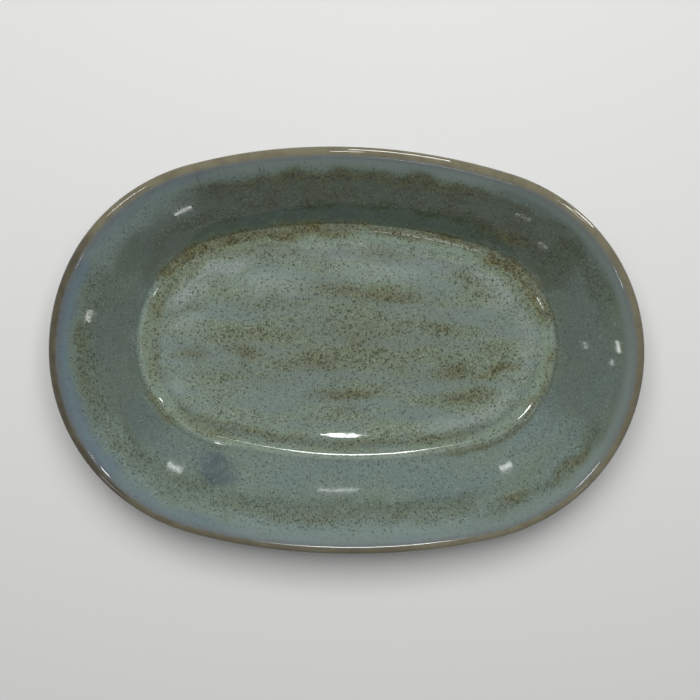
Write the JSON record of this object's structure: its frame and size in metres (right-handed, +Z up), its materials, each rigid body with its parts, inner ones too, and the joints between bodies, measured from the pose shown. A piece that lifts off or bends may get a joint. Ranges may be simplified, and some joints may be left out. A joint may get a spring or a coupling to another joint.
{
  "type": "ikebana suiban",
  "caption": "Shallow oval stoneware basin with a flared glazed wall, a seam bead round a flat floor and a foot ring, holding water and a pin holder for low flower arrangements.",
  "frame": {"origin": "on the resting plane, under the middle of the dish", "axes": "+Z up through the open top, +X along the dish, +Y across it"},
  "size_m": [0.33, 0.23, 0.05],
  "materials": {
    "stoneware": "bare fired clay, matt",
    "celadon_glaze": "glossy, speckled with iron",
    "rim_glaze": "glossy, thin and brown"
  },
  "bodies": {
    "root": {"floor_slab": "stoneware", "flared_wall": "stoneware", "seam_coil": "stoneware", "foot_ring": "stoneware", "inside_glaze": "celadon_glaze", "outside_glaze": "celadon_glaze", "base_glaze": "celadon_glaze", "rim_glaze": "rim_glaze"}
  },
  "joints": []
}
